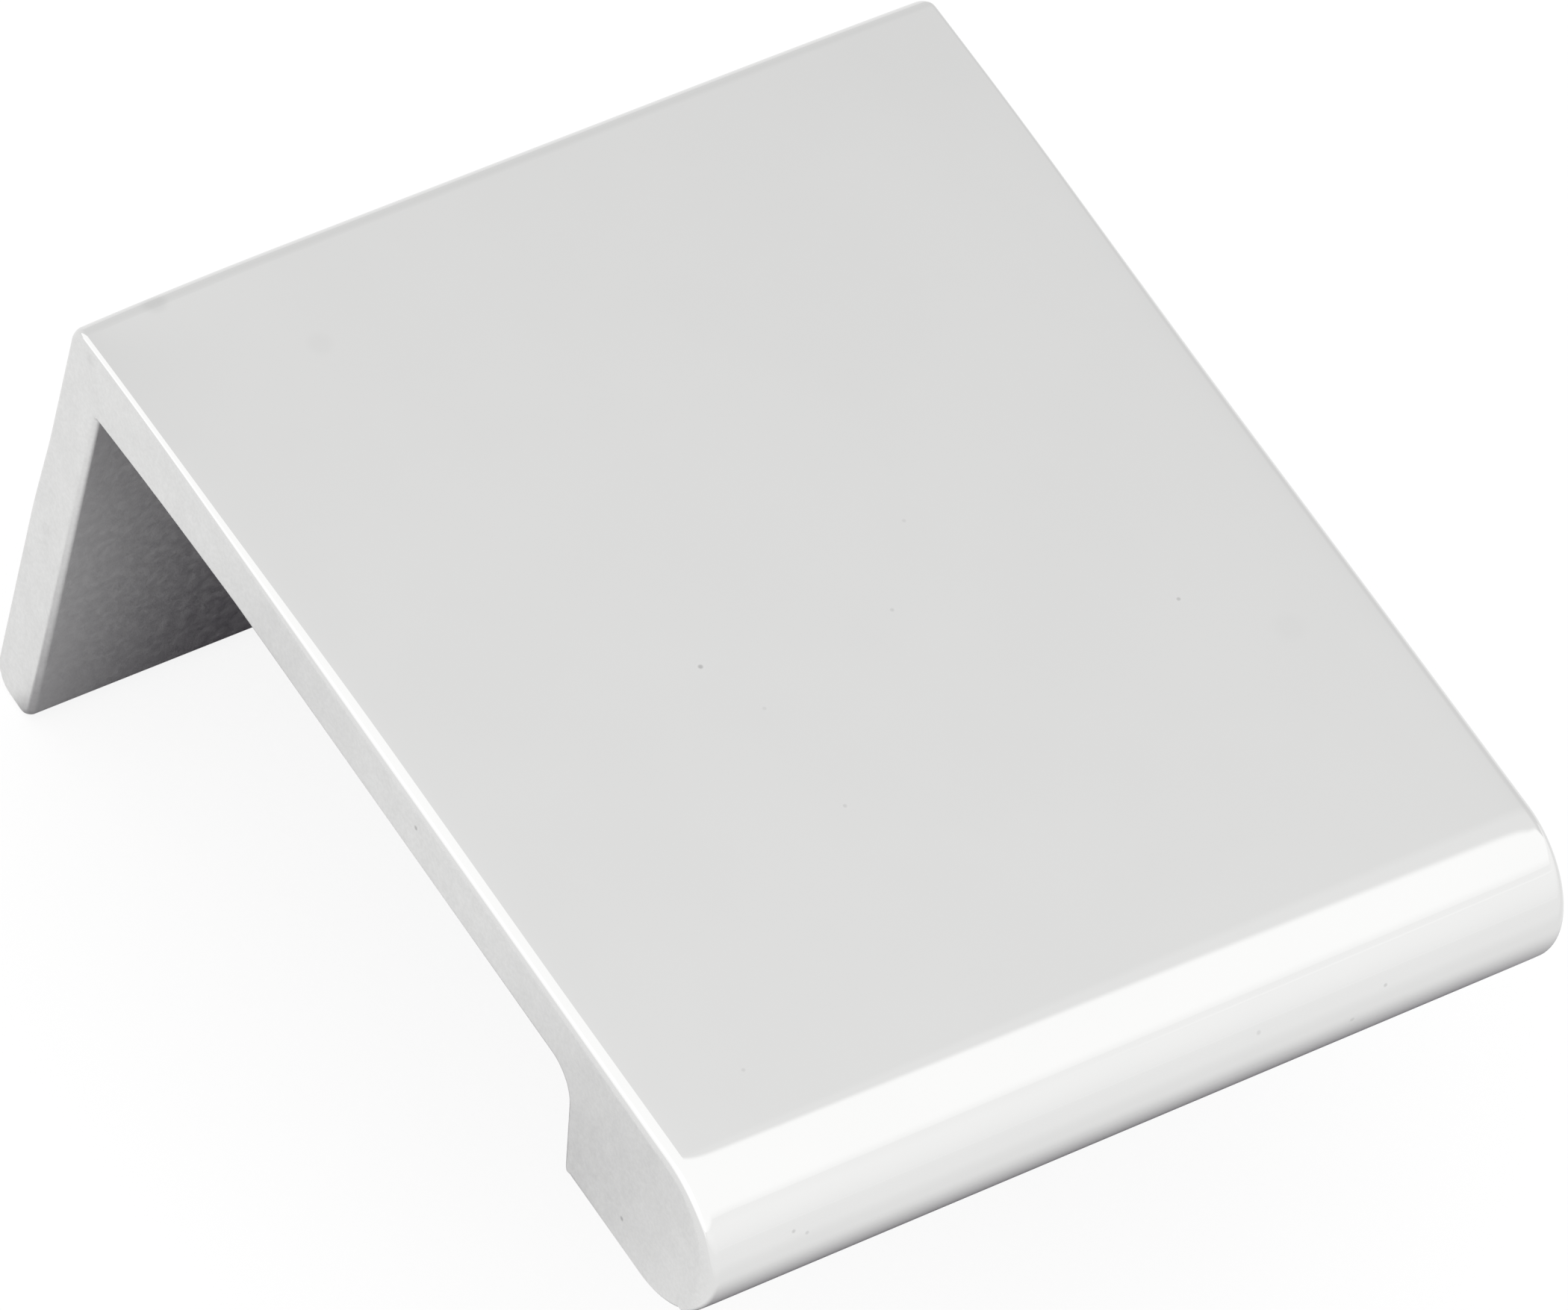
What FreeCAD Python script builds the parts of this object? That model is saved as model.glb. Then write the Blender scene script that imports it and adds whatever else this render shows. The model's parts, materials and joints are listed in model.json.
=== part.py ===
# Tab pull: a small cabinet pull in one piece, a short length of one metal section.
# A flat plate runs over the top edge of a door or drawer front. A leg hangs down behind the front
# and takes two countersunk screws. A rounded lip along the plate's front edge is what fingers hook.
#
# Millimetres, +Z up. The front of the pull is towards -Y and its length lies along X.
# The origin is midway between the two screw holes, on the leg's inner face.

import FreeCAD, Part
import math
import os

import Sketcher

os.makedirs("parts", exist_ok=True)
doc = FreeCAD.newDocument("tab_pull")


# Driving sizes, in millimetres and degrees

SIZES = [
    ("length", "33"),
    ("depth", "40"),
    ("height", "19.2"),
    ("plate_wall", "2.4"),
    ("leg_wall", "2.25"),
    ("root_rise", "0.35"),
    ("root_run", "8.6"),
    ("lip_drop", "6.4"),
    ("lip_width", "7.7"),
    ("lip_lean", "12"),
    ("back_round", "0.8"),
    ("tip_back_round", "1"),
    ("tip_front_round", "0.6"),
    ("lip_root_round", "1.3"),
    ("lip_heel_round", "0.5"),
    ("end_round", "0.3"),
    ("bore", "4"),
    ("sink_width", "6.8"),
    ("sink_angle", "90"),
    ("hole_pitch", "19"),
    ("hole_drop", "10.5"),
]

sheet = doc.addObject("Spreadsheet::Sheet", "sizes")
for row, (name, value) in enumerate(SIZES, start=1):
    sheet.set(f"A{row}", name)
    sheet.set(f"B{row}", value)
    sheet.setAlias(f"B{row}", name)
doc.recompute()


def size(name):
    """A driving size, as a plain number."""
    return float(sheet.get(name))


def plane(body, role):
    """One of the body's own origin planes."""
    return next(feature for feature in body.Origin.OriginFeatures if feature.Role == role)


# The outline is drawn in the plane across the pull's length: first coordinate Y, second Z.
# It runs anticlockwise from the sharp inner corner between leg and plate.

LINE_START = 1
LINE_END = 2
ARC_CENTRE = 3
SKETCH_ORIGIN = (-1, 1)
LEVEL_AXIS = -1
UPRIGHT_AXIS = -2

# An edge thinner than this along X lies in one plane across the pull
FLAT = 1e-6


def point(across, up):
    return FreeCAD.Vector(across, up, 0)


def heading(first, second):
    return (second - first).normalize()


def turn_angle(before, after):
    """Signed turn from one heading to the next; anticlockwise is positive."""
    cross = before.x * after.y - before.y * after.x
    return math.atan2(cross, before.dot(after))


def rounded(previous, corner, following, radius):
    """Where a rounding of a corner starts and ends, and its centre."""
    before = heading(previous, corner)
    after = heading(corner, following)
    turn = turn_angle(before, after)
    reach = radius * math.tan(abs(turn) / 2)
    start = corner - before * reach
    side = math.copysign(radius, turn)
    centre = start + point(-before.y, before.x) * side
    return start, corner + after * reach, centre, turn > 0


def add_line(sketch, first, second):
    return sketch.addGeometry(Part.LineSegment(first, second), False)


def add_arc(sketch, start, end, centre, anticlockwise):
    """Adds an arc and gives its index with the point numbers at which the outline enters and leaves."""
    if not anticlockwise:
        start, end = end, start
    from_centre = start - centre
    to_end = end - centre
    first_angle = math.atan2(from_centre.y, from_centre.x)
    last_angle = math.atan2(to_end.y, to_end.x)
    if last_angle <= first_angle:
        last_angle += 2 * math.pi
    circle = Part.Circle(centre, FreeCAD.Vector(0, 0, 1), from_centre.Length)
    index = sketch.addGeometry(Part.ArcOfCircle(circle, first_angle, last_angle), False)
    if anticlockwise:
        return index, LINE_START, LINE_END
    return index, LINE_END, LINE_START


def bind(sketch, name, expression, *constraint):
    """Adds a dimension to the sketch and ties it to the sheet."""
    index = sketch.addConstraint(Sketcher.Constraint(*constraint))
    sketch.renameConstraint(index, name)
    sketch.setExpression(f"Constraints.{name}", expression)


def draw_outline(body):
    """The section of leg, plate and lip."""
    top = size("hole_drop")
    tip = top - size("height")
    lip_bottom = top - size("lip_drop")
    underside = top - size("plate_wall")
    leg_back = size("leg_wall")
    nose_radius = size("lip_drop") / 2
    nose_centre = leg_back - size("depth") + nose_radius
    heel = nose_centre - nose_radius + size("lip_width")
    lean_angle = math.radians(size("lip_lean"))
    wall_shift = math.tan(lean_angle) * (underside - lip_bottom)

    inner_corner = point(0, underside - size("root_rise"))
    tip_front = point(0, tip)
    tip_back = point(leg_back, tip)
    top_back = point(leg_back, top)
    nose_top = point(nose_centre, top)
    nose_bottom = point(nose_centre, lip_bottom)
    lip_heel = point(heel, lip_bottom)
    lip_root = point(heel + wall_shift, underside)
    root_end = point(-size("root_run"), underside)

    sketch = body.newObject("Sketcher::SketchObject", "outline")
    sketch.AttachmentSupport = [(plane(body, "YZ_Plane"), "")]
    sketch.MapMode = "FlatFace"

    tip_front_arc = rounded(inner_corner, tip_front, tip_back, size("tip_front_round"))
    tip_back_arc = rounded(tip_front, tip_back, top_back, size("tip_back_round"))
    back_arc = rounded(tip_back, top_back, nose_top, size("back_round"))
    heel_arc = rounded(nose_bottom, lip_heel, lip_root, size("lip_heel_round"))
    root_arc = rounded(lip_heel, lip_root, root_end, size("lip_root_round"))

    leg_face = add_line(sketch, inner_corner, tip_front_arc[0])
    tip_front_curve = add_arc(sketch, *tip_front_arc)
    tip_face = add_line(sketch, tip_front_arc[1], tip_back_arc[0])
    tip_back_curve = add_arc(sketch, *tip_back_arc)
    leg_outside = add_line(sketch, tip_back_arc[1], back_arc[0])
    back_curve = add_arc(sketch, *back_arc)
    top_face = add_line(sketch, back_arc[1], nose_top)
    nose_curve = add_arc(sketch, nose_top, nose_bottom, (nose_top + nose_bottom) / 2, True)
    lip_face = add_line(sketch, nose_bottom, heel_arc[0])
    heel_curve = add_arc(sketch, *heel_arc)
    lip_wall = add_line(sketch, heel_arc[1], root_arc[0])
    root_curve = add_arc(sketch, *root_arc)
    under_face = add_line(sketch, root_arc[1], root_end)
    root_face = add_line(sketch, root_end, inner_corner)
    heel_mark = sketch.addGeometry(Part.Point(lip_heel), True)

    for before, (arc, enters, leaves), after in (
        (leg_face, tip_front_curve, tip_face),
        (tip_face, tip_back_curve, leg_outside),
        (leg_outside, back_curve, top_face),
        (top_face, nose_curve, lip_face),
        (lip_face, heel_curve, lip_wall),
        (lip_wall, root_curve, under_face),
    ):
        sketch.addConstraint(Sketcher.Constraint("Tangent", before, LINE_END, arc, enters))
        sketch.addConstraint(Sketcher.Constraint("Tangent", arc, leaves, after, LINE_START))
    for before, after in ((under_face, root_face), (root_face, leg_face)):
        sketch.addConstraint(Sketcher.Constraint("Coincident", before, LINE_END, after, LINE_START))
    for line in (tip_face, top_face, lip_face, under_face):
        sketch.addConstraint(Sketcher.Constraint("Horizontal", line))
    for line in (leg_face, leg_outside):
        sketch.addConstraint(Sketcher.Constraint("Vertical", line))
    for line in (lip_face, lip_wall):
        sketch.addConstraint(Sketcher.Constraint("PointOnObject", heel_mark, LINE_START, line))
    sketch.addConstraint(Sketcher.Constraint("PointOnObject", leg_face, LINE_START, UPRIGHT_AXIS))

    top_end = (top_face, LINE_END)
    bind(sketch, "hole_drop", "sizes.hole_drop", "DistanceY", *SKETCH_ORIGIN, *top_end, top)
    bind(sketch, "height", "sizes.height",
         "DistanceY", tip_face, LINE_END, *top_end, size("height"))
    bind(sketch, "lip_drop", "sizes.lip_drop",
         "DistanceY", lip_face, LINE_START, *top_end, size("lip_drop"))
    bind(sketch, "plate_wall", "sizes.plate_wall",
         "DistanceY", under_face, LINE_END, *top_end, size("plate_wall"))
    bind(sketch, "root_rise", "sizes.root_rise",
         "DistanceY", leg_face, LINE_START, under_face, LINE_END, size("root_rise"))
    bind(sketch, "root_run", "sizes.root_run",
         "DistanceX", under_face, LINE_END, *SKETCH_ORIGIN, size("root_run"))
    bind(sketch, "leg_wall", "sizes.leg_wall",
         "DistanceX", *SKETCH_ORIGIN, leg_outside, LINE_START, leg_back)
    bind(sketch, "depth", "sizes.depth - sizes.lip_drop / 2",
         "DistanceX", nose_curve[0], ARC_CENTRE, leg_outside, LINE_START, leg_back - nose_centre)
    bind(sketch, "lip_width", "sizes.lip_width - sizes.lip_drop / 2",
         "DistanceX", nose_curve[0], ARC_CENTRE, heel_mark, LINE_START, heel - nose_centre)
    bind(sketch, "lip_lean", "90 deg - sizes.lip_lean * 1 deg",
         "Angle", lip_wall, math.pi / 2 - lean_angle)
    for (arc, enters, leaves), alias in (
        (tip_front_curve, "tip_front_round"),
        (tip_back_curve, "tip_back_round"),
        (back_curve, "back_round"),
        (heel_curve, "lip_heel_round"),
        (root_curve, "lip_root_round"),
    ):
        bind(sketch, alias, f"sizes.{alias}", "Radius", arc, size(alias))
    return sketch


def end_edges(shape):
    """The names of the edges that bound the two flat ends."""
    half = size("length") / 2
    names = []
    for number, edge in enumerate(shape.Edges, start=1):
        box = edge.BoundBox
        if box.XLength < FLAT and abs(abs(box.XMin) - half) < FLAT:
            names.append(f"Edge{number}")
    return names


def drill_screw_holes(body):
    """Two screw holes through the leg, countersunk from its outside."""
    sketch = body.newObject("Sketcher::SketchObject", "hole_centres")
    sketch.AttachmentSupport = [(plane(body, "XZ_Plane"), "")]
    sketch.MapMode = "FlatFace"
    sketch.setExpression("AttachmentOffset.Base.z", "-sizes.leg_wall")
    for side, name in ((-1, "left"), (1, "right")):
        centre = point(side * size("hole_pitch") / 2, 0)
        circle = Part.Circle(centre, FreeCAD.Vector(0, 0, 1), size("bore") / 2)
        hole = sketch.addGeometry(circle, False)
        sketch.addConstraint(Sketcher.Constraint("PointOnObject", hole, ARC_CENTRE, LEVEL_AXIS))
        ends = (hole, ARC_CENTRE, *SKETCH_ORIGIN) if side < 0 else (*SKETCH_ORIGIN, hole, ARC_CENTRE)
        bind(sketch, f"{name}_centre", "sizes.hole_pitch / 2", "DistanceX", *ends, abs(centre.x))
        bind(sketch, f"{name}_bore", "sizes.bore / 2", "Radius", hole, size("bore") / 2)
    doc.recompute()
    holes = body.newObject("PartDesign::Hole", "screw_holes")
    holes.Profile = sketch
    doc.recompute()
    holes.DepthType = "ThroughAll"
    holes.Reversed = True
    holes.HoleCutType = "Countersink"
    holes.setExpression("Diameter", "sizes.bore")
    holes.setExpression("HoleCutDiameter", "sizes.sink_width")
    holes.setExpression("HoleCutCountersinkAngle", "sizes.sink_angle")
    return holes


def make_tab_pull():
    body = doc.addObject("PartDesign::Body", "tab_pull")
    body.Label = "tab_pull"
    outline = draw_outline(body)
    bar = body.newObject("PartDesign::Pad", "bar")
    bar.Profile = outline
    bar.SideType = "Symmetric"
    bar.setExpression("Length", "sizes.length")
    doc.recompute()
    ends = body.newObject("PartDesign::Fillet", "polished_ends")
    ends.Base = (bar, end_edges(bar.Shape))
    ends.setExpression("Radius", "sizes.end_round")
    doc.recompute()
    drill_screw_holes(body)
    body.Placement = FreeCAD.Placement()
    return body


SUBPARTS = [make_tab_pull()]
doc.recompute()

for item in doc.Objects:
    if {"Invalid", "Error"} & set(item.State):
        raise RuntimeError(f"{item.Label} failed to build: {item.State}")
for subpart in SUBPARTS:
    if subpart.Shape.isNull() or not subpart.Shape.isValid() or len(subpart.Shape.Solids) != 1:
        raise RuntimeError(f"{subpart.Label} is not one valid solid")
for subpart in SUBPARTS:
    subpart.Shape.exportStep(f"parts/{subpart.Label}.step")
    box = subpart.Shape.optimalBoundingBox(True, False)
    print(f"{subpart.Label}: {box.XLength:.2f} x {box.YLength:.2f} x {box.ZLength:.2f} mm,"
          f" {subpart.Shape.Volume:.1f} mm3")
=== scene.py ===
import json
import math

import bmesh
import bpy
from mathutils import Matrix, Vector


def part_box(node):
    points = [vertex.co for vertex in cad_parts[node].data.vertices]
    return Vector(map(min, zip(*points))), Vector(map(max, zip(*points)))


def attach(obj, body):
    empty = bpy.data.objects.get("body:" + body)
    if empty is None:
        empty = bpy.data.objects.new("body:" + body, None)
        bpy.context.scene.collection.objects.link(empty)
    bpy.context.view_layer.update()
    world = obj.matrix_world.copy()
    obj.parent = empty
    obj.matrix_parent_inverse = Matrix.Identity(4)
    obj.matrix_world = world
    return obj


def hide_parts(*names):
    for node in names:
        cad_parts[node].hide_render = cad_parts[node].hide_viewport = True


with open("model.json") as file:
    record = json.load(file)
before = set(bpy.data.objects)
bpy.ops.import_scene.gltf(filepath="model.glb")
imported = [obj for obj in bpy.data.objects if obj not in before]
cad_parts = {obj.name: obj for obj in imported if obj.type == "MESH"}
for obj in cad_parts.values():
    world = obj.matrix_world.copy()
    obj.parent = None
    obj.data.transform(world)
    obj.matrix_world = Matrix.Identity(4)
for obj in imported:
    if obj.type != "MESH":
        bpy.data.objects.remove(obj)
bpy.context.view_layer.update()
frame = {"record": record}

# Units: metres, as in the frame. The pull's front is towards -Y, its length lies along X, and +Z is up.
# The origin is midway between the two screw holes, on the leg's inner face.

MM = 0.001

NODE = "tab_pull"
low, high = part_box(NODE)
mount = next(m for m in frame["record"]["mounts"] if m["name"] == "screw_holes")

# Sizes that the frame gives

HALF_LENGTH = high.x
TOP = high.z
TIP = low.z
LEG_BACK = high.y
NOSE = low.y
BORE_RADIUS = mount["dims"]["hole_r_mm"] * MM
HOLE_PITCH = mount["dims"]["spacing_x_mm"] * MM

# Sizes of the section and the countersinks

PLATE_WALL = 2.4 * MM
ROOT_RISE = 0.35 * MM
ROOT_RUN = 8.6 * MM
LIP_DROP = 6.4 * MM
LIP_WIDTH = 7.7 * MM
LIP_LEAN = math.radians(12)
BACK_ROUND = 0.8 * MM
TIP_BACK_ROUND = 1.0 * MM
TIP_FRONT_ROUND = 0.6 * MM
LIP_ROOT_ROUND = 1.3 * MM
LIP_HEEL_ROUND = 0.5 * MM
INNER_CORNER_ROUND = 0.08 * MM
ROOT_CREASE_ROUND = 6.0 * MM
SINK_RADIUS = 3.4 * MM
HOLE_EDGE_ROUND = 0.12 * MM

# Polishing has rounded the two ends: least at the leg's tip, most at the nose. The rounding changes over
# two ranges of distance from the leg's back, and on the back itself with the height.

END_ROUND_AT_LEG = 0.18 * MM
END_ROUND_ON_PLATE = 0.40 * MM
END_ROUND_AT_NOSE = 0.45 * MM
END_ROUND_BEHIND = 0.40 * MM
END_ROUND_INSIDE = 0.25 * MM
ROUND_TO_PLATE = (4 * MM, 20 * MM)
ROUND_TO_NOSE = (28 * MM, 38 * MM)
ROUND_UP_THE_BACK = (0, 5 * MM)
FACING_BACK = (0.2, 0.9)

# Just before the rounding the polished faces already fall away a little, more towards the nose

FALL_SLOPE_ON_PLATE = 0.12
FALL_SLOPE_AT_NOSE = 0.14
FALL_TO_PLATE = (2 * MM, 18 * MM)
FALL_TO_NOSE = (32 * MM, 37 * MM)
FALL_RUN = 0.30 * MM
FALL_REACH = 1.5 * MM
FALL_CELLS = 14

# Polishing has also sunk the top towards its two back corners. Going up, the sinking starts at the first
# of these heights and is full at the second.

CORNER_SINK_LEFT = 0.26 * MM
CORNER_SINK_RIGHT = 0.10 * MM
CORNER_REACH = 8.0 * MM
CORNER_SINK_HEIGHTS = (0, 8 * MM)

# A face belongs to the channel between leg and lip if it lies near one of them or above the lip's bottom,
# as far as it looks into the channel

CHANNEL_BY_LEG = 1.0 * MM
CHANNEL_BY_LIP = 3.0 * MM
CHANNEL_ABOVE_LIP = 1.0 * MM
FACING_CHANNEL = (0.3, 0.8)

# The end faces are dull from where the surface turns this far to the side. At the top the polish goes on
# almost to the end face.

END_FACE_START = 0.50
END_FACE_START_AT_TOP = 0.93
END_FACE_FULL = 0.999
FACING_UP = (0.2, 0.7)

# How finely the surface is divided, and how close two points count as one

HOLE_PATCH = 4.4 * MM
CELL = HOLE_PATCH / 8
ARC_STEP = math.radians(4)
END_STEPS = 12
SAME_PLACE = 1e-3 * MM


def smooth(low_end, high_end, value):
    """0 below the low end, 1 above the high end, and a smooth step between them."""
    share = min(max((value - low_end) / (high_end - low_end), 0.0), 1.0)
    return share * share * (3 - 2 * share)


def blend(first, second, share):
    return first + (second - first) * share


# The section

def right_of(heading):
    """The outward side of a path that runs anticlockwise round the metal."""
    return Vector((heading.y, -heading.x))


def bend(before, corner, after, radius):
    """Points along a rounded corner, each with its outward normal."""
    first = (corner - before).normalized()
    last = (after - corner).normalized()
    turn = math.atan2(first.cross(last), first.dot(last))
    if abs(turn) < 1e-6:
        return [(corner, right_of(first))]
    side = math.copysign(radius, turn)
    start = corner - first * radius * math.tan(abs(turn) / 2)
    centre = start - right_of(first) * side
    steps = max(3, math.ceil(abs(turn) / ARC_STEP))
    places = []
    for step in range(steps + 1):
        normal = Matrix.Rotation(turn * step / steps, 2) @ right_of(first)
        places.append((centre + normal * side, normal))
    return places


def divide(places, closed):
    """The same path with its straight stretches cut into cells, and no point twice."""
    path = []
    ends = places[1:] + places[:1] if closed else places[1:] + [None]
    for (here, normal), following in zip(places, ends):
        if path and (path[-1][0] - here).length < SAME_PLACE:
            continue
        path.append((here, normal))
        if following is None:
            continue
        run = following[0] - here
        if run.length > CELL and abs(run.normalized().dot(normal)) < 1e-4:
            cells = max(1, round(run.length / CELL))
            path += [(here + run * cell / cells, normal) for cell in range(1, cells)]
    return path


def section():
    """The outline across the pull, anticlockwise, as (point, outward normal).

    The first coordinate is Y, the second Z.
    """
    underside = TOP - PLATE_WALL
    lip_bottom = TOP - LIP_DROP
    lip_wall_foot = NOSE + LIP_WIDTH
    lip_wall_top = lip_wall_foot + math.tan(LIP_LEAN) * (underside - lip_bottom)
    nose_radius = LIP_DROP / 2
    corners = [
        (0, underside - ROOT_RISE, INNER_CORNER_ROUND),
        (0, HOLE_PATCH, 0),
        (0, -HOLE_PATCH, 0),
        (0, TIP, TIP_FRONT_ROUND),
        (LEG_BACK, TIP, TIP_BACK_ROUND),
        (LEG_BACK, -HOLE_PATCH, 0),
        (LEG_BACK, HOLE_PATCH, 0),
        (LEG_BACK, TOP, BACK_ROUND),
        (NOSE, TOP, nose_radius),
        (NOSE, lip_bottom, nose_radius),
        (lip_wall_foot, lip_bottom, LIP_HEEL_ROUND),
        (lip_wall_top, underside, LIP_ROOT_ROUND),
        (-ROOT_RUN, underside, ROOT_CREASE_ROUND),
    ]
    points = [Vector((across, up)) for across, up, radius in corners]
    places = []
    for index, (across, up, radius) in enumerate(corners):
        following = points[(index + 1) % len(points)]
        places += bend(points[index - 1], points[index], following, radius)
    return divide(places, closed=True)


def inner_side(place, normal):
    """1 on the faces that look into the channel between leg and lip, 0 on the outside."""
    facing = 0.0
    if place.x > -CHANNEL_BY_LEG:
        facing = -normal.x
    elif place.x < NOSE + LIP_WIDTH + CHANNEL_BY_LIP:
        facing = normal.x
    if place.y > TOP - LIP_DROP + CHANNEL_ABOVE_LIP:
        facing = max(facing, -normal.y)
    return smooth(*FACING_CHANNEL, facing)


def end_round(place, normal):
    """The rounding of an end at this place of the section."""
    behind = LEG_BACK - place.x
    radius = blend(END_ROUND_AT_LEG, END_ROUND_ON_PLATE, smooth(*ROUND_TO_PLATE, behind))
    radius = blend(radius, END_ROUND_AT_NOSE, smooth(*ROUND_TO_NOSE, behind))
    if place.x > 0:
        upper_back = smooth(*FACING_BACK, normal.x) * smooth(*ROUND_UP_THE_BACK, place.y)
        radius = blend(radius, END_ROUND_BEHIND, upper_back)
    return blend(radius, END_ROUND_INSIDE, inner_side(place, normal))


def fall_slope(place, normal):
    """How steeply a polished face falls away where the end's rounding starts."""
    behind = LEG_BACK - place.x
    slope = blend(0.0, FALL_SLOPE_ON_PLATE, smooth(*FALL_TO_PLATE, behind))
    slope = blend(slope, FALL_SLOPE_AT_NOSE, smooth(*FALL_TO_NOSE, behind))
    return slope * (1 - inner_side(place, normal))


def corner_sink(point):
    """How far the metal has sunk near the two back corners of the top."""
    distance = math.hypot(HALF_LENGTH - abs(point.x), LEG_BACK - point.y)
    share = max(0.0, 1 - distance / CORNER_REACH)
    depth = CORNER_SINK_RIGHT if point.x > 0 else CORNER_SINK_LEFT
    return depth * share * share * smooth(*CORNER_SINK_HEIGHTS, point.z)


def settle(point, facing):
    """Sinks a point, and turns its normal to suit."""
    step = 0.01 * MM
    here = corner_sink(point)
    slopes = [(corner_sink(point + axis * step) - here) / step for axis in Matrix.Identity(3)]
    return point - Vector((0, 0, here)), facing + Vector(slopes) * facing.z


# The pull's mesh

def stations():
    """The rings along one half of the length, from the middle to the end.

    A ring is ("bar", x) where the section is whole, ("reach", share) where it falls away, and
    ("turn", angle) on the end's rounding.
    """
    near = HOLE_PITCH / 2 - HOLE_PATCH
    far = HOLE_PITCH / 2 + HOLE_PATCH
    rings = []
    for start, end in ((0, near), (near, far), (far, HALF_LENGTH - FALL_REACH)):
        cells = round((end - start) / CELL)
        rings += [("bar", start + (end - start) * cell / cells) for cell in range(cells)]
    rings += [("reach", cell / FALL_CELLS) for cell in range(FALL_CELLS)]
    rings += [("turn", math.pi / 2 * step / END_STEPS) for step in range(END_STEPS + 1)]
    return rings


def ring_point(kind, value, side, place, normal):
    """One point of a ring, with its normal."""
    radius = end_round(place, normal)
    turn = 0.0
    along = value
    if kind == "reach":
        along = blend(HALF_LENGTH - FALL_REACH, HALF_LENGTH - radius, value)
    if kind == "turn":
        turn = value
        along = HALF_LENGTH - radius + radius * math.sin(turn)
    slope = 0.0
    if kind != "bar":
        slope = fall_slope(place, normal) * math.exp((along - HALF_LENGTH) / FALL_RUN)
    inward = place - normal * (radius * (1 - math.cos(turn)) + slope * FALL_RUN)
    tilt = math.sin(turn) + slope * math.cos(turn)
    facing = Vector((side * tilt, normal.x * math.cos(turn), normal.y * math.cos(turn)))
    return settle(Vector((side * along, inward.x, inward.y)), facing)


def pull_mesh():
    """The whole pull as one closed surface with its true normals."""
    path = section()
    half = stations()
    rings = [(-1, *ring) for ring in reversed(half)] + [(1, *ring) for ring in half[1:]]
    mesh = bmesh.new()
    normals = []
    inner = []
    grid = []
    for side, kind, value in rings:
        row = []
        for place, normal in path:
            point, facing = ring_point(kind, value, side, place, normal)
            row.append(mesh.verts.new(point))
            normals.append(facing)
            inner.append(inner_side(place, normal))
        grid.append(row)
    holes = [patch_of(path, rings, side) for side in (-1, 1)]
    for ring, (row, next_row) in enumerate(zip(grid, grid[1:])):
        for spot in range(len(path)):
            if any(inside(patch, ring, spot) for patch in holes):
                continue
            following = (spot + 1) % len(path)
            mesh.faces.new((row[spot], next_row[spot], next_row[following], row[following]))
    mesh.faces.new(grid[0])
    mesh.faces.new(reversed(grid[-1]))
    for patch in holes:
        drill(mesh, normals, inner, grid, patch)
    bmesh.ops.recalc_face_normals(mesh, faces=mesh.faces)
    bmesh.ops.triangulate(mesh, faces=[face for face in mesh.faces if len(face.verts) > 4])
    return mesh, normals, inner


# The screw holes

def patch_of(path, rings, side):
    """The square of cells that a hole takes the place of, on both faces of the leg."""
    centre = side * HOLE_PITCH / 2
    reach = HOLE_PATCH + SAME_PLACE
    columns = [index for index, (way, kind, value) in enumerate(rings)
               if kind == "bar" and abs(way * value - centre) < reach]
    level = [index for index, (place, normal) in enumerate(path)
             if abs(place.y) < reach and abs(normal.x) > 0.999]
    level.sort(key=lambda index: path[index][0].y)
    inner = [index for index in level if path[index][1].x < 0]
    outer = [index for index in level if path[index][1].x > 0]
    return {"centre": centre, "columns": columns, "inner": inner, "outer": outer}


def inside(patch, ring, spot):
    """Whether the cell that starts at this ring and spot is cut away for the hole."""
    if not patch["columns"][0] <= ring < patch["columns"][-1]:
        return False
    return any(min(rows) <= spot < max(rows) for rows in (patch["inner"], patch["outer"]))


def around(patch, rows):
    """The border of a patch as (ring, spot), once round."""
    columns = patch["columns"]
    border = [(columns[0], row) for row in rows[:-1]]
    border += [(column, rows[-1]) for column in columns[:-1]]
    border += [(columns[-1], row) for row in reversed(rows[1:])]
    border += [(column, rows[0]) for column in reversed(columns[1:])]
    return border


def hole_profile():
    """The wall of a hole from the leg's outside to its inside, as ((radius, y), normal)."""
    sink_depth = SINK_RADIUS - BORE_RADIUS
    corners = [
        (HOLE_PATCH, LEG_BACK, 0),
        (SINK_RADIUS, LEG_BACK, HOLE_EDGE_ROUND),
        (BORE_RADIUS, LEG_BACK - sink_depth, HOLE_EDGE_ROUND),
        (BORE_RADIUS, 0, HOLE_EDGE_ROUND),
        (HOLE_PATCH, 0, 0),
    ]
    points = [Vector((radius, across)) for radius, across, rounding in corners]
    places = []
    for index in range(1, len(corners) - 1):
        places += bend(points[index - 1], points[index], points[index + 1], corners[index][2])
    return divide(places, closed=False)


def drill(mesh, normals, inner, grid, patch):
    """Joins the two faces of the leg through one countersunk hole."""
    outside = [grid[ring][spot] for ring, spot in around(patch, patch["outer"])]
    inside_face = [grid[ring][spot] for ring, spot in around(patch, patch["inner"])]
    centre = patch["centre"]
    loops = [outside]
    for place, normal in hole_profile():
        loop = []
        for vertex in outside:
            angle = math.atan2(vertex.co.z, vertex.co.x - centre)
            spoke = Vector((math.cos(angle), 0, math.sin(angle)))
            loop.append(mesh.verts.new(Vector((centre, place.y, 0)) + spoke * place.x))
            normals.append(spoke * normal.x + Vector((0, normal.y, 0)))
            inner.append(smooth(*FACING_CHANNEL, -normal.y))
        loops.append(loop)
    loops.append(inside_face)
    for upper, lower in zip(loops, loops[1:]):
        for index in range(len(upper)):
            following = (index + 1) % len(upper)
            mesh.faces.new((upper[index], upper[following], lower[following], lower[index]))


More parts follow.
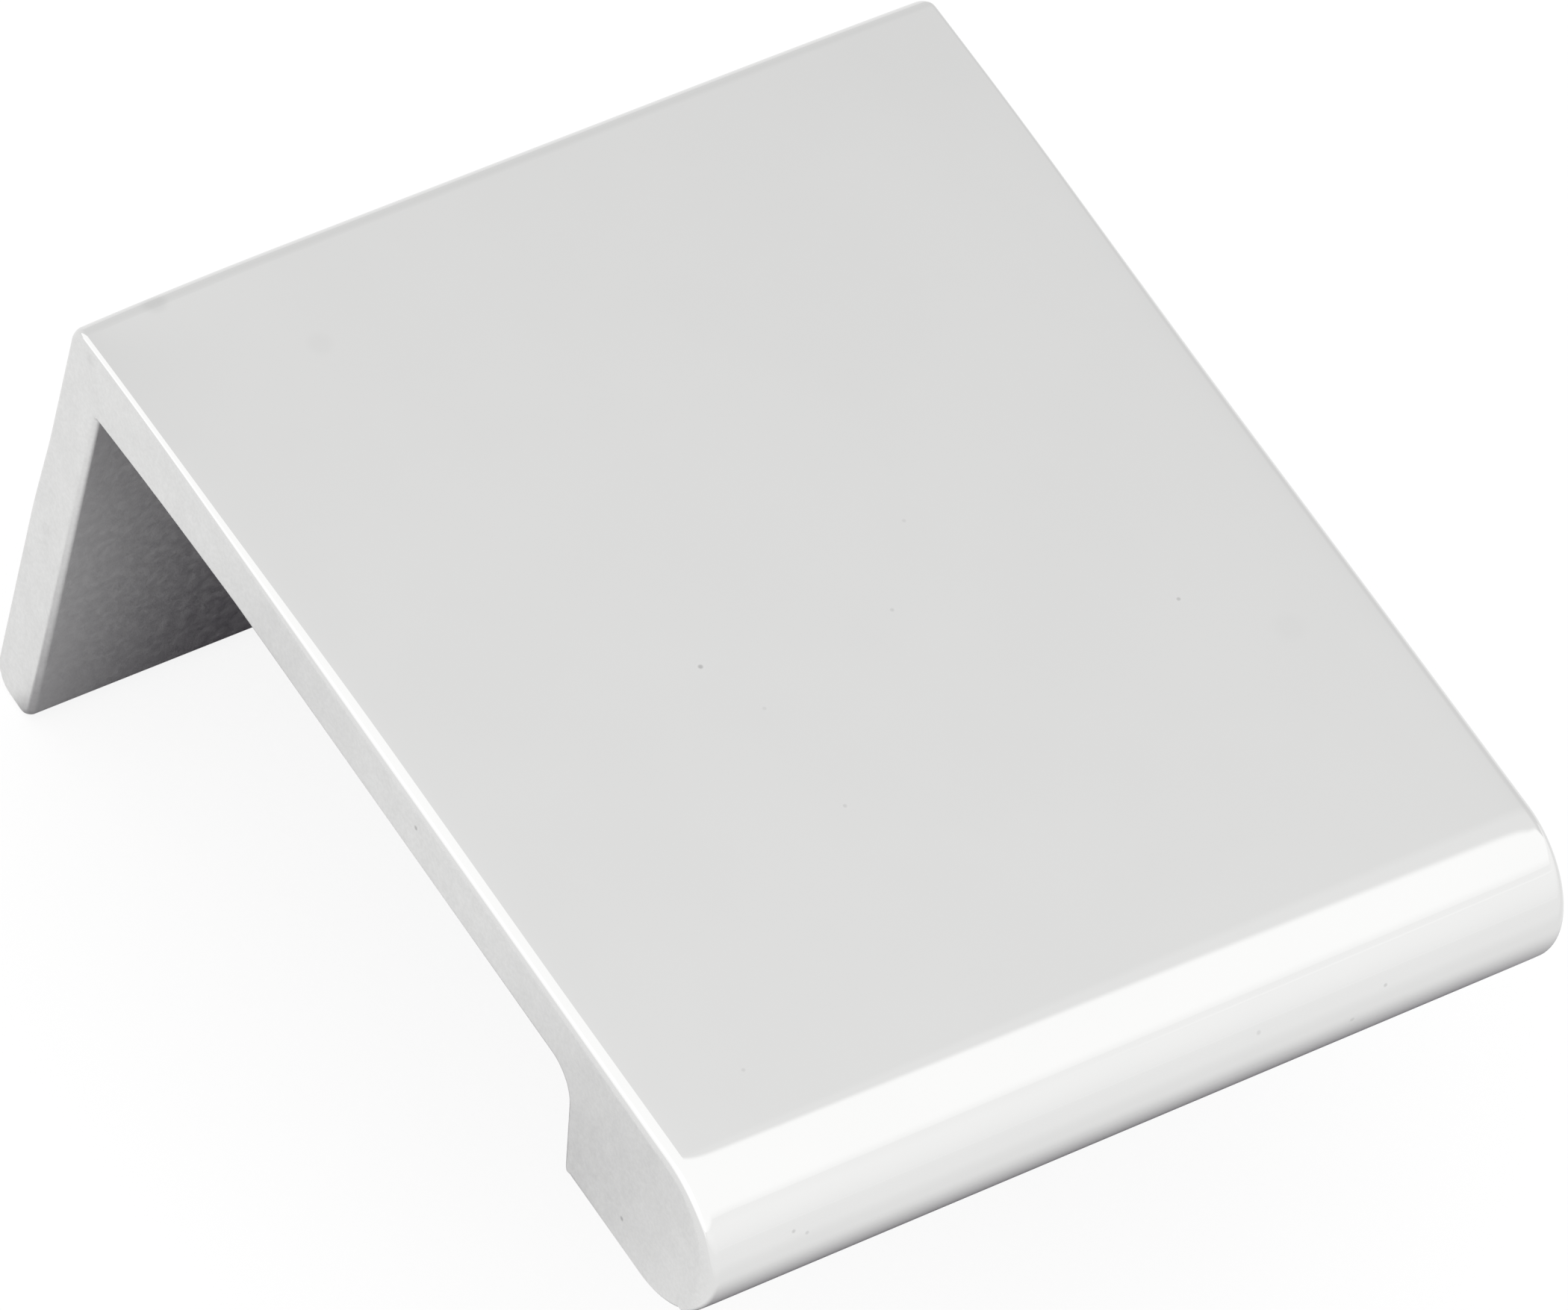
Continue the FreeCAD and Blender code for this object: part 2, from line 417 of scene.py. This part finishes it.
def end_finish(normal):
    """1 on the dull end faces, 0 on polished ones."""
    upward = normal.z / max(math.hypot(normal.y, normal.z), 1e-6)
    start = blend(END_FACE_START, END_FACE_START_AT_TOP, smooth(*FACING_UP, upward))
    return smooth(start, END_FACE_FULL, abs(normal.x))


def make_pull():
    surface, normals, inner = pull_mesh()
    data = bpy.data.meshes.new("polished_pull")
    surface.to_mesh(data)
    surface.free()
    for polygon in data.polygons:
        polygon.use_smooth = True
    data.normals_split_custom_set_from_vertices([normal.normalized() for normal in normals])
    ends = [end_finish(normal.normalized()) for normal in normals]
    for name, values in (("end_finish", ends), ("inner_finish", inner)):
        data.attributes.new(name, "FLOAT", "POINT").data.foreach_set("value", values)
    data.materials.append(polished_chrome())
    pull = place_in_scene(bpy.data.objects.new("polished_pull", data))
    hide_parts(NODE)
    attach(pull, "root")


# The finish

# Dull faces are mottled with blotches and grain, polished ones with faint clouds. Each mottle is a noise
# scale, a detail, the part of the noise's range that counts, and the values that part is spread over.

PLATE_COLOUR = (0.71, 0.71, 0.705, 1.0)
POLISHED_ROUGHNESS = 0.05
DULL_ROUGHNESS = (2500.0, 3.0, (0.3, 0.7), (0.34, 0.44))
CLOUDS = (160.0, 3.0, (0.35, 0.65), (0.998, 1.006))
BLOTCHES = (900.0, 3.0, (0.3, 0.7), (0.985, 1.02))
GRAIN = (6000.0, 2.0, (0.3, 0.7), (0.97, 1.03))
MOTTLE_ROUGHNESS = 0.6
MARK_CORE = 0.3


class Nodes:
    """Short ways to add and join shader nodes."""

    def __init__(self, owner):
        owner.use_nodes = True
        self.tree = owner.node_tree
        self.tree.nodes.clear()

    def add(self, kind, settings=None, **inputs):
        node = self.tree.nodes.new(kind)
        for name, value in (settings or {}).items():
            setattr(node, name, value)
        for name, value in inputs.items():
            self.put(node, name.replace("_", " "), value)
        return node

    def put(self, node, name, value):
        numbered = name[0] == "i" and name[1:].isdigit()
        socket = node.inputs[int(name[1:]) if numbered else name]
        if isinstance(value, bpy.types.NodeSocket):
            self.tree.links.new(value, socket)
        else:
            socket.default_value = value

    def math(self, operation, first, second=0.0, clamp=False):
        settings = {"operation": operation, "use_clamp": clamp}
        return self.add("ShaderNodeMath", settings, i0=first, i1=second).outputs[0]

    def vector_math(self, operation, first, second):
        settings = {"operation": operation}
        return self.add("ShaderNodeVectorMath", settings, i0=first, i1=second).outputs["Value"]

    def mix(self, share, first, second):
        settings = {"data_type": "FLOAT"}
        return self.add("ShaderNodeMix", settings, i0=share, i2=first, i3=second).outputs[0]

    def spread(self, value, from_low, from_high, to_low, to_high, way="SMOOTHSTEP"):
        """Maps a value from one range to another, and holds it at the ends."""
        inputs = {"i0": value, "i1": from_low, "i2": from_high, "i3": to_low, "i4": to_high}
        return self.add("ShaderNodeMapRange", {"interpolation_type": way}, **inputs).outputs[0]

    def geometry(self, name):
        return self.add("ShaderNodeNewGeometry").outputs[name]

    def along(self, direction, start):
        """How far the lit point is from the start, measured along a direction."""
        reach = self.vector_math("DOT_PRODUCT", self.geometry("Position"), direction)
        return self.math("SUBTRACT", reach, direction.dot(start))

    def mottle(self, scale, detail, counted, result):
        """Soft noise on the object. The counted part of its range is spread over the result."""
        where = self.add("ShaderNodeTexCoord").outputs["Object"]
        inputs = {"Vector": where, "Scale": scale, "Detail": detail, "Roughness": MOTTLE_ROUGHNESS}
        noise = self.add("ShaderNodeTexNoise", **inputs).outputs["Fac"]
        return self.spread(noise, *counted, *result)

    def show(self, output, shader):
        """Joins a shader to an output of this kind."""
        self.put(self.add(output), "Surface", shader)


def on_nose(along, degrees):
    """A place on the nose's round, in millimetres; 0 degrees is its front, 90 its top."""
    radius = LIP_DROP / 2
    angle = math.radians(degrees)
    across = NOSE + radius - radius * math.cos(angle)
    up = TOP - radius + radius * math.sin(angle)
    return along, across / MM, up / MM


# Pits and soft smudges in the plating: place in millimetres, radius in millimetres, darkness. Within the
# core, a share of the radius, a mark is evenly dark.

MARKS = [
    ((-5.3, -18.5, 10.5), 0.12, 0.30),
    ((-4.3, -20.8, 10.5), 0.10, 0.08),
    ((1.6, -19.2, 10.5), 0.10, 0.12),
    ((10.4, -22.8, 10.5), 0.10, 0.22),
    ((-4.0, -25.2, 10.5), 0.10, 0.12),
    ((3.9, -16.3, 10.5), 0.10, 0.08),
    ((-12.5, -32.6, 10.5), 0.10, 0.10),
    ((-16.5, -19.5, 9.5), 0.12, 0.35),
    ((-16.5, -33.2, 5.6), 0.12, 0.35),
    ((-16.5, 1.2, 0.4), 0.40, 0.05),
    ((-16.5, 1.1, -0.2), 0.25, 0.05),
    ((-16.5, 0.9, 9.8), 0.35, 0.06),
    (on_nose(-13.3, 22), 0.10, 0.20),
    (on_nose(-12.8, 17), 0.10, 0.15),
    (on_nose(9.3, 20), 0.10, 0.20),
    (on_nose(8.1, 3), 0.12, 0.15),
    (on_nose(4.4, 24), 0.12, 0.12),
    ((-13.7, 1.7, 10.3), 0.60, 0.08),
    ((-9.7, -2.1, 10.5), 0.60, 0.025),
    ((13.1, -25.3, 10.5), 0.80, 0.02),
]


def marks(nodes):
    """How much of the brightness is left by the pits and smudges."""
    where = nodes.add("ShaderNodeTexCoord").outputs["Object"]
    left = 1.0
    for place, radius, darkness in MARKS:
        away = nodes.vector_math("DISTANCE", where, Vector(place) * MM)
        here = nodes.spread(away, MARK_CORE * radius * MM, radius * MM, 1 - darkness, 1.0)
        left = nodes.math("MULTIPLY", here, left)
    return left


def polished_chrome():
    """Mirror plate outside; the sawn ends and the channel's faces are duller, with a grain."""
    material = bpy.data.materials.new("polished_chrome")
    nodes = Nodes(material)
    shader = nodes.add("ShaderNodeBsdfPrincipled", Metallic=1.0)
    nodes.show("ShaderNodeOutputMaterial", shader.outputs[0])
    end = nodes.add("ShaderNodeAttribute", {"attribute_name": "end_finish"}).outputs["Fac"]
    inner = nodes.add("ShaderNodeAttribute", {"attribute_name": "inner_finish"}).outputs["Fac"]
    dull = nodes.math("MAXIMUM", end, inner)

    dull_shade = nodes.math("MULTIPLY", nodes.mottle(*BLOTCHES), nodes.mottle(*GRAIN))
    shade = nodes.mix(dull, nodes.mottle(*CLOUDS), dull_shade)
    shade = nodes.math("MULTIPLY", shade, marks(nodes))
    settings = {"data_type": "RGBA", "blend_type": "MULTIPLY"}
    tint = nodes.add("ShaderNodeMix", settings, i0=1.0, i6=PLATE_COLOUR, i7=shade)
    nodes.put(shader, "Base Color", tint.outputs[2])

    roughness = nodes.mix(dull, POLISHED_ROUGHNESS, nodes.mottle(*DULL_ROUGHNESS))
    nodes.put(shader, "Roughness", roughness)
    return material


# The studio

CAMERA_PLACE = Vector((-251.42, -274.46, 458.86)) * MM
CAMERA_AIM = Vector((-2.58, -19.25, 10.5)) * MM
CAMERA_ROLL = math.radians(-15.35)
SENSOR_WIDTH = 36.0
FOCAL_LENGTH = 411.43

# A level lamp over the pull, a little dimmer along its front. Its bright part is what lies left of an edge
# that runs from front to back, and a piece at the front on the right. A faint glow fills the rest, and
# fades to the right and the back. The other two lamps lie below its corner and share its turn.

OVERHEAD_CORNER = Vector((0.331, -0.382, 0.310))
OVERHEAD_TURN = math.radians(24.7)
OVERHEAD_FRAME = Matrix.Rotation(OVERHEAD_TURN, 3, "Z")
OVERHEAD_WIDTH = 2.6
OVERHEAD_DEPTH = 1.6
OVERHEAD_MARGIN = 0.8
OVERHEAD_FRONT_PART = 0.352
OVERHEAD_FRONT_PART_SLANT = math.radians(27)
OVERHEAD_RADIANCE = 0.405
OVERHEAD_RADIANCE_IN_FRONT = 0.32
OVERHEAD_FRONT_FADE = 0.12
OVERHEAD_EDGE_SOFTNESS = 0.010
GLOW_CENTRE = Vector((0.168, 0.155, 0.0))
GLOW_RADIANCE = 0.05
GLOW_SLOPE = Vector((-0.60, -0.78, 0.0))
GLOW_LIMIT = 0.12

# An upright lamp hangs from the level lamp's front edge to the floor. It dims from a height down to its
# foot, and has a thin brighter seam on the right.

FRONT_WIDTH = 3.4
FRONT_HEIGHT = 0.32
FRONT_RADIANCE_LOW = 0.155
FRONT_RADIANCE_HIGH = 0.25
FRONT_DIMMING_HEIGHT = 0.2
SEAM_HEIGHT = 0.236
SEAM_HALF_WIDTH = 0.012
SEAM_START = 0.215
SEAM_FADE = 0.02
SEAM_RADIANCE = 0.07

# A faint lamp lies on the floor behind the upright lamp's foot, and fades out towards the pull

FLOOR_LAMP_DEPTH = 0.44
FLOOR_LAMP_FADE = (0.016, 0.042)
FLOOR_LAMP_RADIANCE_NEAR = 0.075
FLOOR_LAMP_RADIANCE_FAR = 0.11

# How bright the surroundings are: overhead and at the horizon, then what changes on the left and towards
# the back right. Each change grows over a range of how close a direction is to that side.

SKY_OVERHEAD = 0.95
SKY_HORIZON = 1.0
SKY_HEIGHTS = (0.15, 0.6)
SKY_SIDES = (
    (Vector((-1.0, 0.0, 0.0)), (0.70, 0.85), 0.30),
    (Vector((0.75, 0.66, 0.0)), (0.66, 0.97), -0.10),
)

# White paper under the pull. What the camera, reflections and glass see of it is lifted towards white.

FLOOR_COLOUR = (0.97, 0.97, 0.97, 1.0)
FLOOR_LIFT = 0.85
FLOOR_HALF_SIZE = 3.0
FLOOR_HEIGHT = TIP - 0.05 * MM

# A dark card on the paper: a painted shadow, which stands in for the shade under the leg and the nose as
# the pull's reflections see it. Each side fades from nothing to full between two places. From the leg
# forwards the left side first slants to the right, then swings back to the left, and starts further to the
# right under the nose.

PAINTED_SHADOW_COLOUR = (0.100, 0.092, 0.108, 1.0)
PAINTED_SHADOW_HALF_SIZE = 0.1
PAINTED_SHADOW_HEIGHT = TIP - 0.03 * MM
PAINTED_SHADOW_FRONT = (-0.054, -0.026)
PAINTED_SHADOW_BACK = (0.0, 0.0015)
PAINTED_SHADOW_LEFT = (-0.033, -0.009)
PAINTED_SHADOW_LEFT_SLANT = (-0.034, -0.010, -0.008, 0.008)
PAINTED_SHADOW_LEFT_AT_NOSE = (-0.018, -0.010)
PAINTED_SHADOW_NOSE_BACK = (-0.029, -0.021)
PAINTED_SHADOW_RIGHT = (0.020, 0.035)


def place_in_scene(thing):
    bpy.context.scene.collection.objects.link(thing)
    return thing


def make_camera():
    data = bpy.data.cameras.new("camera")
    data.sensor_width = SENSOR_WIDTH
    data.lens = FOCAL_LENGTH
    camera = place_in_scene(bpy.data.objects.new("camera", data))
    look = (CAMERA_AIM - CAMERA_PLACE).to_track_quat("-Z", "Y").to_matrix()
    turned = look @ Matrix.Rotation(-CAMERA_ROLL, 3, "Z")
    camera.matrix_world = Matrix.Translation(CAMERA_PLACE) @ turned.to_4x4()
    bpy.context.scene.camera = camera


def make_lamp(name, width, height):
    """A rectangular lamp whose nodes give its radiance; it isn't seen by the camera itself."""
    data = bpy.data.lights.new(name, "AREA")
    data.shape = "RECTANGLE"
    data.size = width
    data.size_y = height
    data.energy = math.pi * width * height
    lamp = place_in_scene(bpy.data.objects.new(name, data))
    lamp.visible_camera = False
    nodes = Nodes(data)
    light = nodes.add("ShaderNodeEmission")
    nodes.show("ShaderNodeOutputLight", light.outputs[0])
    return lamp, nodes, light


def make_overhead_lamp():
    width = OVERHEAD_WIDTH + OVERHEAD_MARGIN
    lamp, nodes, light = make_lamp("overhead_lamp", width, OVERHEAD_DEPTH)
    to_centre = Vector((OVERHEAD_MARGIN - width / 2, OVERHEAD_DEPTH / 2, 0))
    lamp.location = OVERHEAD_CORNER + OVERHEAD_FRAME @ to_centre
    lamp.rotation_euler.z = OVERHEAD_TURN

    soft = OVERHEAD_EDGE_SOFTNESS
    past_edge = nodes.along(OVERHEAD_FRAME @ Vector((1, 0, 0)), OVERHEAD_CORNER)
    left_part = nodes.spread(past_edge, -soft, soft, 1.0, 0.0)
    slant = Matrix.Rotation(-OVERHEAD_FRONT_PART_SLANT, 3, "Z") @ Vector((0, 1, 0))
    start = OVERHEAD_CORNER + OVERHEAD_FRAME @ Vector((0, OVERHEAD_FRONT_PART, 0))
    past_slant = nodes.along(OVERHEAD_FRAME @ slant, start)
    front_part = nodes.spread(past_slant, -2 * soft, 2 * soft, 1.0, 0.0)
    bright = nodes.math("MAXIMUM", left_part, front_part)

    past_front = nodes.along(OVERHEAD_FRAME @ Vector((0, 1, 0)), OVERHEAD_CORNER)
    main = nodes.spread(past_front, 0.0, OVERHEAD_FRONT_FADE,
                        OVERHEAD_RADIANCE_IN_FRONT, OVERHEAD_RADIANCE)
    glow = nodes.math("ADD", nodes.along(GLOW_SLOPE, GLOW_CENTRE), GLOW_RADIANCE)
    glow = nodes.math("MINIMUM", nodes.math("MAXIMUM", glow, 0.0), GLOW_LIMIT)
    nodes.put(light, "Strength", nodes.mix(bright, glow, main))


def make_front_lamp():
    lamp, nodes, light = make_lamp("front_lamp", FRONT_WIDTH, FRONT_HEIGHT)
    lamp.location = OVERHEAD_CORNER - Vector((0, 0, FRONT_HEIGHT / 2))
    lamp.rotation_euler = (math.radians(90), 0, OVERHEAD_TURN)
    height = nodes.along(Vector((0, 0, 1)), Vector())
    level = nodes.spread(height, TIP, FRONT_DIMMING_HEIGHT,
                         FRONT_RADIANCE_LOW, FRONT_RADIANCE_HIGH, "LINEAR")
    off_seam = nodes.math("ABSOLUTE", nodes.math("SUBTRACT", height, SEAM_HEIGHT))
    seam = nodes.spread(off_seam, 0.0, SEAM_HALF_WIDTH, SEAM_RADIANCE, 0.0)
    along = nodes.along(Vector((1, 0, 0)), Vector((SEAM_START, 0, 0)))
    seam = nodes.math("MULTIPLY", seam, nodes.spread(along, 0.0, SEAM_FADE, 0.0, 1.0))
    nodes.put(light, "Strength", nodes.math("ADD", level, seam))


def make_floor_lamp():
    lamp, nodes, light = make_lamp("floor_lamp", FRONT_WIDTH, FLOOR_LAMP_DEPTH)
    lamp.location = OVERHEAD_CORNER + OVERHEAD_FRAME @ Vector((0, FLOOR_LAMP_DEPTH / 2, 0))
    lamp.location.z = TIP
    lamp.rotation_euler = (math.radians(180), 0, OVERHEAD_TURN)
    ahead = nodes.along(Vector((0, -1, 0)), Vector((0, NOSE, 0)))
    start, full = FLOOR_LAMP_FADE
    fade = nodes.spread(ahead, start, full, 0.0, 1.0)
    level = nodes.spread(ahead, full, FLOOR_LAMP_DEPTH,
                         FLOOR_LAMP_RADIANCE_NEAR, FLOOR_LAMP_RADIANCE_FAR, "LINEAR")
    nodes.put(light, "Strength", nodes.math("MULTIPLY", fade, level))


def make_card(name, half_size, height, material):
    mesh = bmesh.new()
    bmesh.ops.create_grid(mesh, x_segments=1, y_segments=1, size=half_size)
    data = bpy.data.meshes.new(name)
    mesh.to_mesh(data)
    mesh.free()
    data.materials.append(material)
    card = place_in_scene(bpy.data.objects.new(name, data))
    card.location.z = height
    return card


def make_floor():
    """The paper, with one lift for the camera, reflections and glass together."""
    material = bpy.data.materials.new("floor_paper")
    nodes = Nodes(material)
    paper = nodes.add("ShaderNodeBsdfDiffuse", Color=FLOOR_COLOUR).outputs[0]
    white = nodes.add("ShaderNodeEmission", Strength=1.0).outputs[0]
    path = nodes.add("ShaderNodeLightPath").outputs
    seen = nodes.math("ADD", path["Is Camera Ray"], path["Is Glossy Ray"])
    seen = nodes.math("ADD", seen, path["Is Transmission Ray"], clamp=True)
    lift = nodes.math("MULTIPLY", seen, FLOOR_LIFT)
    shader = nodes.add("ShaderNodeMixShader", i0=lift, i1=paper, i2=white)
    nodes.show("ShaderNodeOutputMaterial", shader.outputs[0])
    make_card("floor", FLOOR_HALF_SIZE, FLOOR_HEIGHT, material)


def make_painted_shadow_card():
    """A dark card with soft edges, which only reflections see: a painted shadow under the pull."""
    material = bpy.data.materials.new("painted_shadow_material")
    nodes = Nodes(material)
    across, back = nodes.add("ShaderNodeSeparateXYZ", i0=nodes.geometry("Position")).outputs[:2]
    ahead = nodes.math("MULTIPLY", back, -1.0)
    slant = nodes.math("MINIMUM", nodes.spread(back, *PAINTED_SHADOW_LEFT_SLANT), ahead)
    share = nodes.spread(nodes.math("SUBTRACT", across, slant), *PAINTED_SHADOW_LEFT, 0.0, 1.0)
    past_nose = nodes.spread(back, *PAINTED_SHADOW_NOSE_BACK, 0.0, 1.0)
    left_at_nose = nodes.spread(across, *PAINTED_SHADOW_LEFT_AT_NOSE, 0.0, 1.0)
    for side in (nodes.math("MAXIMUM", left_at_nose, past_nose),
                 nodes.spread(across, *PAINTED_SHADOW_RIGHT, 1.0, 0.0),
                 nodes.spread(back, *PAINTED_SHADOW_FRONT, 0.0, 1.0),
                 nodes.spread(back, *PAINTED_SHADOW_BACK, 1.0, 0.0)):
        share = nodes.math("MULTIPLY", share, side)
    clear = nodes.add("ShaderNodeBsdfTransparent").outputs[0]
    # The card's dark colour is a painted shadow, which only reflections see
    dark = nodes.add("ShaderNodeBsdfDiffuse", Color=PAINTED_SHADOW_COLOUR).outputs[0]
    shader = nodes.add("ShaderNodeMixShader", i0=share, i1=clear, i2=dark)
    nodes.show("ShaderNodeOutputMaterial", shader.outputs[0])
    painted_shadow_card = make_card("painted_shadow_card", PAINTED_SHADOW_HALF_SIZE, PAINTED_SHADOW_HEIGHT, material)
    for ray in ("camera", "diffuse", "transmission", "volume_scatter", "shadow"):
        setattr(painted_shadow_card, f"visible_{ray}", False)


def make_world():
    world = bpy.data.worlds.new("studio")
    bpy.context.scene.world = world
    nodes = Nodes(world)
    way = nodes.add("ShaderNodeTexCoord").outputs["Generated"]
    height = nodes.add("ShaderNodeSeparateXYZ", i0=way).outputs[2]
    level = nodes.spread(height, *SKY_HEIGHTS, SKY_HORIZON, SKY_OVERHEAD)
    for side, closeness, change in SKY_SIDES:
        close = nodes.vector_math("DOT_PRODUCT", way, side)
        level = nodes.math("MULTIPLY", level, nodes.spread(close, *closeness, 1.0, 1.0 + change))
    shader = nodes.add("ShaderNodeBackground", Color=(1.0, 1.0, 1.0, 1.0), Strength=level)
    nodes.show("ShaderNodeOutputWorld", shader.outputs[0])


bpy.context.scene.view_settings.view_transform = "Standard"
make_pull()
make_camera()
make_world()
make_overhead_lamp()
make_front_lamp()
make_floor_lamp()
make_floor()
make_painted_shadow_card()
